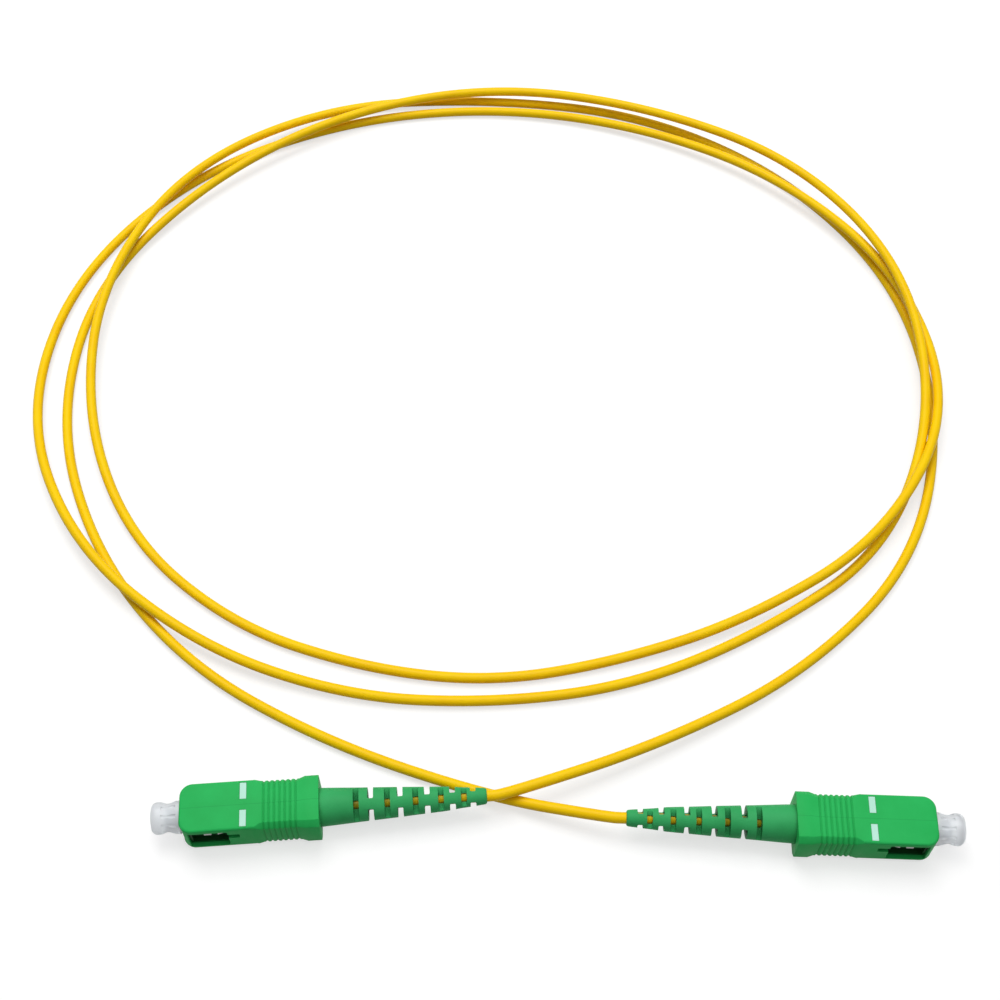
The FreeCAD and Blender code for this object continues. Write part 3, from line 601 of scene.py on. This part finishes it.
boot = {
    # (station, radius): out along the taper, then back along the bore
    "profile": [
        (0.0, 1.05), (0.0, 1.12), (0.07, 1.26), (0.2, 1.37), (0.4, 1.43), (1.5, 1.54), (3.0, 1.68),
        (4.5, 1.8), (5.6, 1.94), (7.0, 2.1), (9.0, 2.22), (11.0, 2.33), (13.0, 2.45), (15.0, 2.58),
        (18.5, 2.77), (22.0, 2.95), (24.5, 3.1), (27.0, 3.25), (29.0, 3.35), (30.6, 3.35),
        (30.6, 2.9), (32.3, 2.9), (32.3, 2.4), (25.6, 2.4), (25.6, 1.42), (23.6, 1.42), (23.6, 1.2),
        (3.0, 1.2), (1.0, 1.05), (0.0, 1.05),
    ],
    "sides": 72,
    "flat slots": [22.7, 17.3, 12.4, 8.0, 4.0],  # cut from above and below
    "side slots": [20.2, 15.1, 10.4, 6.0, 2.4],  # cut from both sides
    "slot width": 1.0,
    "web": 0.95,  # each slot stops this far from the axis
    "slot reach": 5,
    "slot round": 0.22,
    "edge round": 0.16,
}

cap = {
    "profile": [
        (47.15, 1.28), (47.15, 2.15), (47.35, 2.3), (53.07, 2.3), (53.07, 2.8), (53.15, 2.88),
        (53.6, 2.88), (54.0, 2.8), (54.5, 2.66), (54.9, 2.5), (55.25, 2.42), (55.55, 2.42), (55.85, 2.5),
        (56.1, 2.62), (56.4, 2.72), (56.8, 2.78), (57.2, 2.78), (57.55, 2.7), (57.85, 2.52), (58.03, 2.28),
        (58.12, 1.95), (58.12, 0.3), (58.12, 0.0), (55.87, 0.0), (55.87, 1.28), (47.15, 1.28),
    ],
    "sides": 72,
    "flutes": 10,
    "flute sides": 16,
    "flute radius": 0.35,
    "flute reach": 2.72,
    "flute ends": (53.7, 56.3),
}


# a ring drawn along a profile of stations and radii until it meets its own start
def turnedPiece(name, profile, sides):
    deselectAll()
    start = profile[0]
    bpy.ops.mesh.primitive_circle_add(vertices=sides, radius=start[1] * mm, fill_type="NOTHING",
                                      location=(start[0] * mm, 0, 0), rotation=(0, math.pi / 2, 0))
    piece = bpy.context.object
    piece.name = name
    bpy.ops.object.transform_apply(location=True, rotation=True, scale=True)
    bpy.ops.object.mode_set(mode="EDIT")
    bpy.ops.mesh.select_all(action="SELECT")
    x, radius = start
    for station, reach in profile[1:]:
        bpy.ops.mesh.extrude_region_move(TRANSFORM_OT_translate={"value": ((station - x) * mm, 0, 0)})
        grow = max(reach, 0.001) / max(radius, 0.001)
        bpy.ops.transform.resize(value=(1, grow, grow), center_override=(station * mm, 0, 0))
        x, radius = station, reach
    bpy.ops.mesh.select_all(action="SELECT")
    bpy.ops.mesh.remove_doubles(threshold=0.004 * mm)
    bpy.ops.mesh.normals_make_consistent(inside=False)
    bpy.ops.object.mode_set(mode="OBJECT")
    return piece


def joined(items):
    deselectAll()
    for item in items:
        item.select_set(True)
    bpy.context.view_layer.objects.active = items[0]
    bpy.ops.object.join()
    return bpy.context.object


def modelBoot():
    shell = turnedPiece("bootMaster", boot["profile"], boot["sides"])
    cutters = []
    half, web, reach = boot["slot width"] / 2, boot["web"], boot["slot reach"]
    for station in boot["flat slots"]:
        cutters.append(addBlock("slot", (station - half, -reach, web), (station + half, reach, reach)))
        cutters.append(addBlock("slot", (station - half, -reach, -reach), (station + half, reach, -web)))
    for station in boot["side slots"]:
        cutters.append(addBlock("slot", (station - half, web, -reach), (station + half, reach, reach)))
        cutters.append(addBlock("slot", (station - half, -reach, -reach), (station + half, -web, reach)))
    slots = joined(cutters)
    bevelAll(slots, boot["slot round"], 3)
    combine(shell, slots, "DIFFERENCE")
    bevelAll(shell, boot["edge round"], 2, 40)
    smoothEdges(shell, 35)
    print("boot modelled with", len(shell.data.polygons), "faces")
    return shell


def modelCap():
    shell = turnedPiece("capMaster", cap["profile"], cap["sides"])
    start, end = cap["flute ends"]
    flutes = []
    for step in range(cap["flutes"]):
        around = 2 * math.pi * step / cap["flutes"]
        flute = addRod("flute", start, end, cap["flute radius"], cap["flute sides"])
        deselectAll()
        flute.select_set(True)
        bpy.context.view_layer.objects.active = flute
        flute.location = toMetres((0, math.cos(around), math.sin(around))) * cap["flute reach"]
        bpy.ops.object.transform_apply(location=True, rotation=True, scale=True)
        flutes.append(flute)
    combine(shell, joined(flutes), "DIFFERENCE")
    smoothEdges(shell, 35)
    print("cap modelled with", len(shell.data.polygons), "faces")
    return shell


def cablePoints():
    straight = cable["straight"]
    hidden = [cable["inside boot"] * part / 4 for part in range(5)]
    points = [onPlug("a", along) for along in reversed(hidden)]
    points.append(onPlug("a", -straight))
    step = 360 / cable["marks per turn"]
    outward = 1 / math.cos(math.radians(step / 2))  # the spline cuts inside its points by this much
    middle = Vector((*cable["coil centre"], 0))
    angle = cable["first mark"]
    for layout in cable["turns"]:
        for reach, height in zip(layout["reach"], layout["height"]):
            around = math.radians(angle)
            side = Vector((math.cos(around), math.sin(around), 0)) * reach * outward
            points.append(toMetres(middle + side + Vector((0, 0, height))))
            angle += step
    points.append(onPlug("b", -straight))
    points += [onPlug("b", along) for along in hidden]
    return points


def makeCable():
    curve = bpy.data.curves.new("cable", "CURVE")
    curve.dimensions = "3D"
    line = curve.splines.new("NURBS")
    points = cablePoints()
    line.points.add(len(points) - 1)
    for spot, point in zip(line.points, points):
        spot.co = (*point, 1.0)
    line.order_u = 3
    line.use_endpoint_u = True
    line.resolution_u = cable["steps between points"]
    curve.bevel_depth = cable["diameter"] / 2 * mm
    curve.bevel_resolution = cable["roundness"]
    curve.use_fill_caps = True
    piece = bpy.data.objects.new("cable", curve)
    bpy.context.scene.collection.objects.link(piece)
    curve.materials.append(finishes["cable_jacket"])
    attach(piece, "cord")
    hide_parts("cable_jacket", "aramid_yarn", "buffered_fibre")
    print("cable laid with", len(points), "points")
    return piece


# a strength of light for the camera, gloss and clear plastic, and another for everything else
def seenLight(tree, unseen, seen):
    path = tree.nodes.new("ShaderNodeLightPath").outputs
    total = calc(tree, "MAXIMUM", path["Is Camera Ray"], path["Is Glossy Ray"])
    total = calc(tree, "MAXIMUM", total, path["Is Transmission Ray"])
    return spread(tree, total, 0, 1, unseen, seen)


stage = {
    "size": 6,
    "drop": 0.1,  # in mm, below what lies on it
    "base": 0.4,
    "glow": 0.66,
    # in metres from the middle: the glow grows from here to there, by this factor
    "growth": (0.25, 0.8, 1.0, 1.6),
}


def makeStage():
    deselectAll()
    bpy.ops.mesh.primitive_plane_add(size=stage["size"], location=(0, 0, -stage["drop"] * mm))
    floor = bpy.context.object
    floor.name = "floor"
    material, tree, shader = newMaterial("floor pale")
    shader.inputs["Base Color"].default_value = (stage["base"], stage["base"], stage["base"], 1)
    shader.inputs["Roughness"].default_value = 0.9
    shader.inputs["Specular IOR Level"].default_value = 0.0
    glow = tree.nodes.new("ShaderNodeEmission")
    both = tree.nodes.new("ShaderNodeAddShader")
    link = tree.links.new
    # far from the object, where no lamp reaches, the floor stays as white as the room
    away = tree.nodes.new("ShaderNodeVectorMath")
    away.operation = "LENGTH"
    link(tree.nodes.new("ShaderNodeTexCoord").outputs["Object"], away.inputs[0])
    growth = spread(tree, away.outputs["Value"], *stage["growth"])
    seen = seenLight(tree, 0.0, stage["glow"])
    link(calc(tree, "MULTIPLY", seen, growth), glow.inputs["Strength"])
    link(shader.outputs["BSDF"], both.inputs[0])
    link(glow.outputs["Emission"], both.inputs[1])
    link(both.outputs["Shader"], tree.nodes["Material Output"].inputs["Surface"])
    floor.data.materials.append(material)


# the room's strength is what falls on the object, then what is seen of it
light = {
    "room": (0.22, 1.0),
    "aim": (0, 0.05, 0),
    "lamps": {
        "key": {"place": (-0.12, 0.38, 0.8), "size": 0.55, "power": 5.6},
        "top": {"place": (0.25, 0.0, 0.9), "size": 0.5, "power": 1.6},
    },
}


def makeLight():
    world = bpy.data.worlds.new("soft room")
    bpy.context.scene.world = world
    world.use_nodes = True
    room = world.node_tree.nodes["Background"]
    room.inputs["Color"].default_value = (1, 1, 1, 1)
    world.node_tree.links.new(seenLight(world.node_tree, *light["room"]), room.inputs["Strength"])
    for name, facts in light["lamps"].items():
        data = bpy.data.lights.new(name, "AREA")
        data.size = facts["size"]
        data.energy = facts["power"]
        lamp = bpy.data.objects.new(name, data)
        lamp.location = facts["place"]
        way = Vector(light["aim"]) - lamp.location
        lamp.rotation_euler = way.to_track_quat("-Z", "Y").to_euler()
        bpy.context.scene.collection.objects.link(lamp)


# place in mm, down in degrees below level
view = {"place": (-9.81, -105.04, 262.8), "down": 56.5, "lens": 56.76, "sensor": 36, "clip": 0.01}


def makeCamera():
    data = bpy.data.cameras.new("camera")
    data.lens = view["lens"]
    data.sensor_width = view["sensor"]
    data.clip_start = view["clip"]
    camera = bpy.data.objects.new("camera", data)
    camera.location = toMetres(view["place"])
    camera.rotation_euler = (math.radians(90 - view["down"]), 0, 0)
    bpy.context.scene.collection.objects.link(camera)
    bpy.context.scene.camera = camera


dressNodes()
makeCable()
copyToPlugs(modelGrip(), "grip", "grip_END_body", "grip")
copyToPlugs(modelBoot(), "boot", "cord", "boot", twisted=True)
copyToPlugs(modelCap(), "dust_cap", "cap_END_body", "dust_cap")
makeStage()
makeLight()
makeCamera()
bpy.context.scene.view_settings.view_transform = "Standard"
print("scene ready")
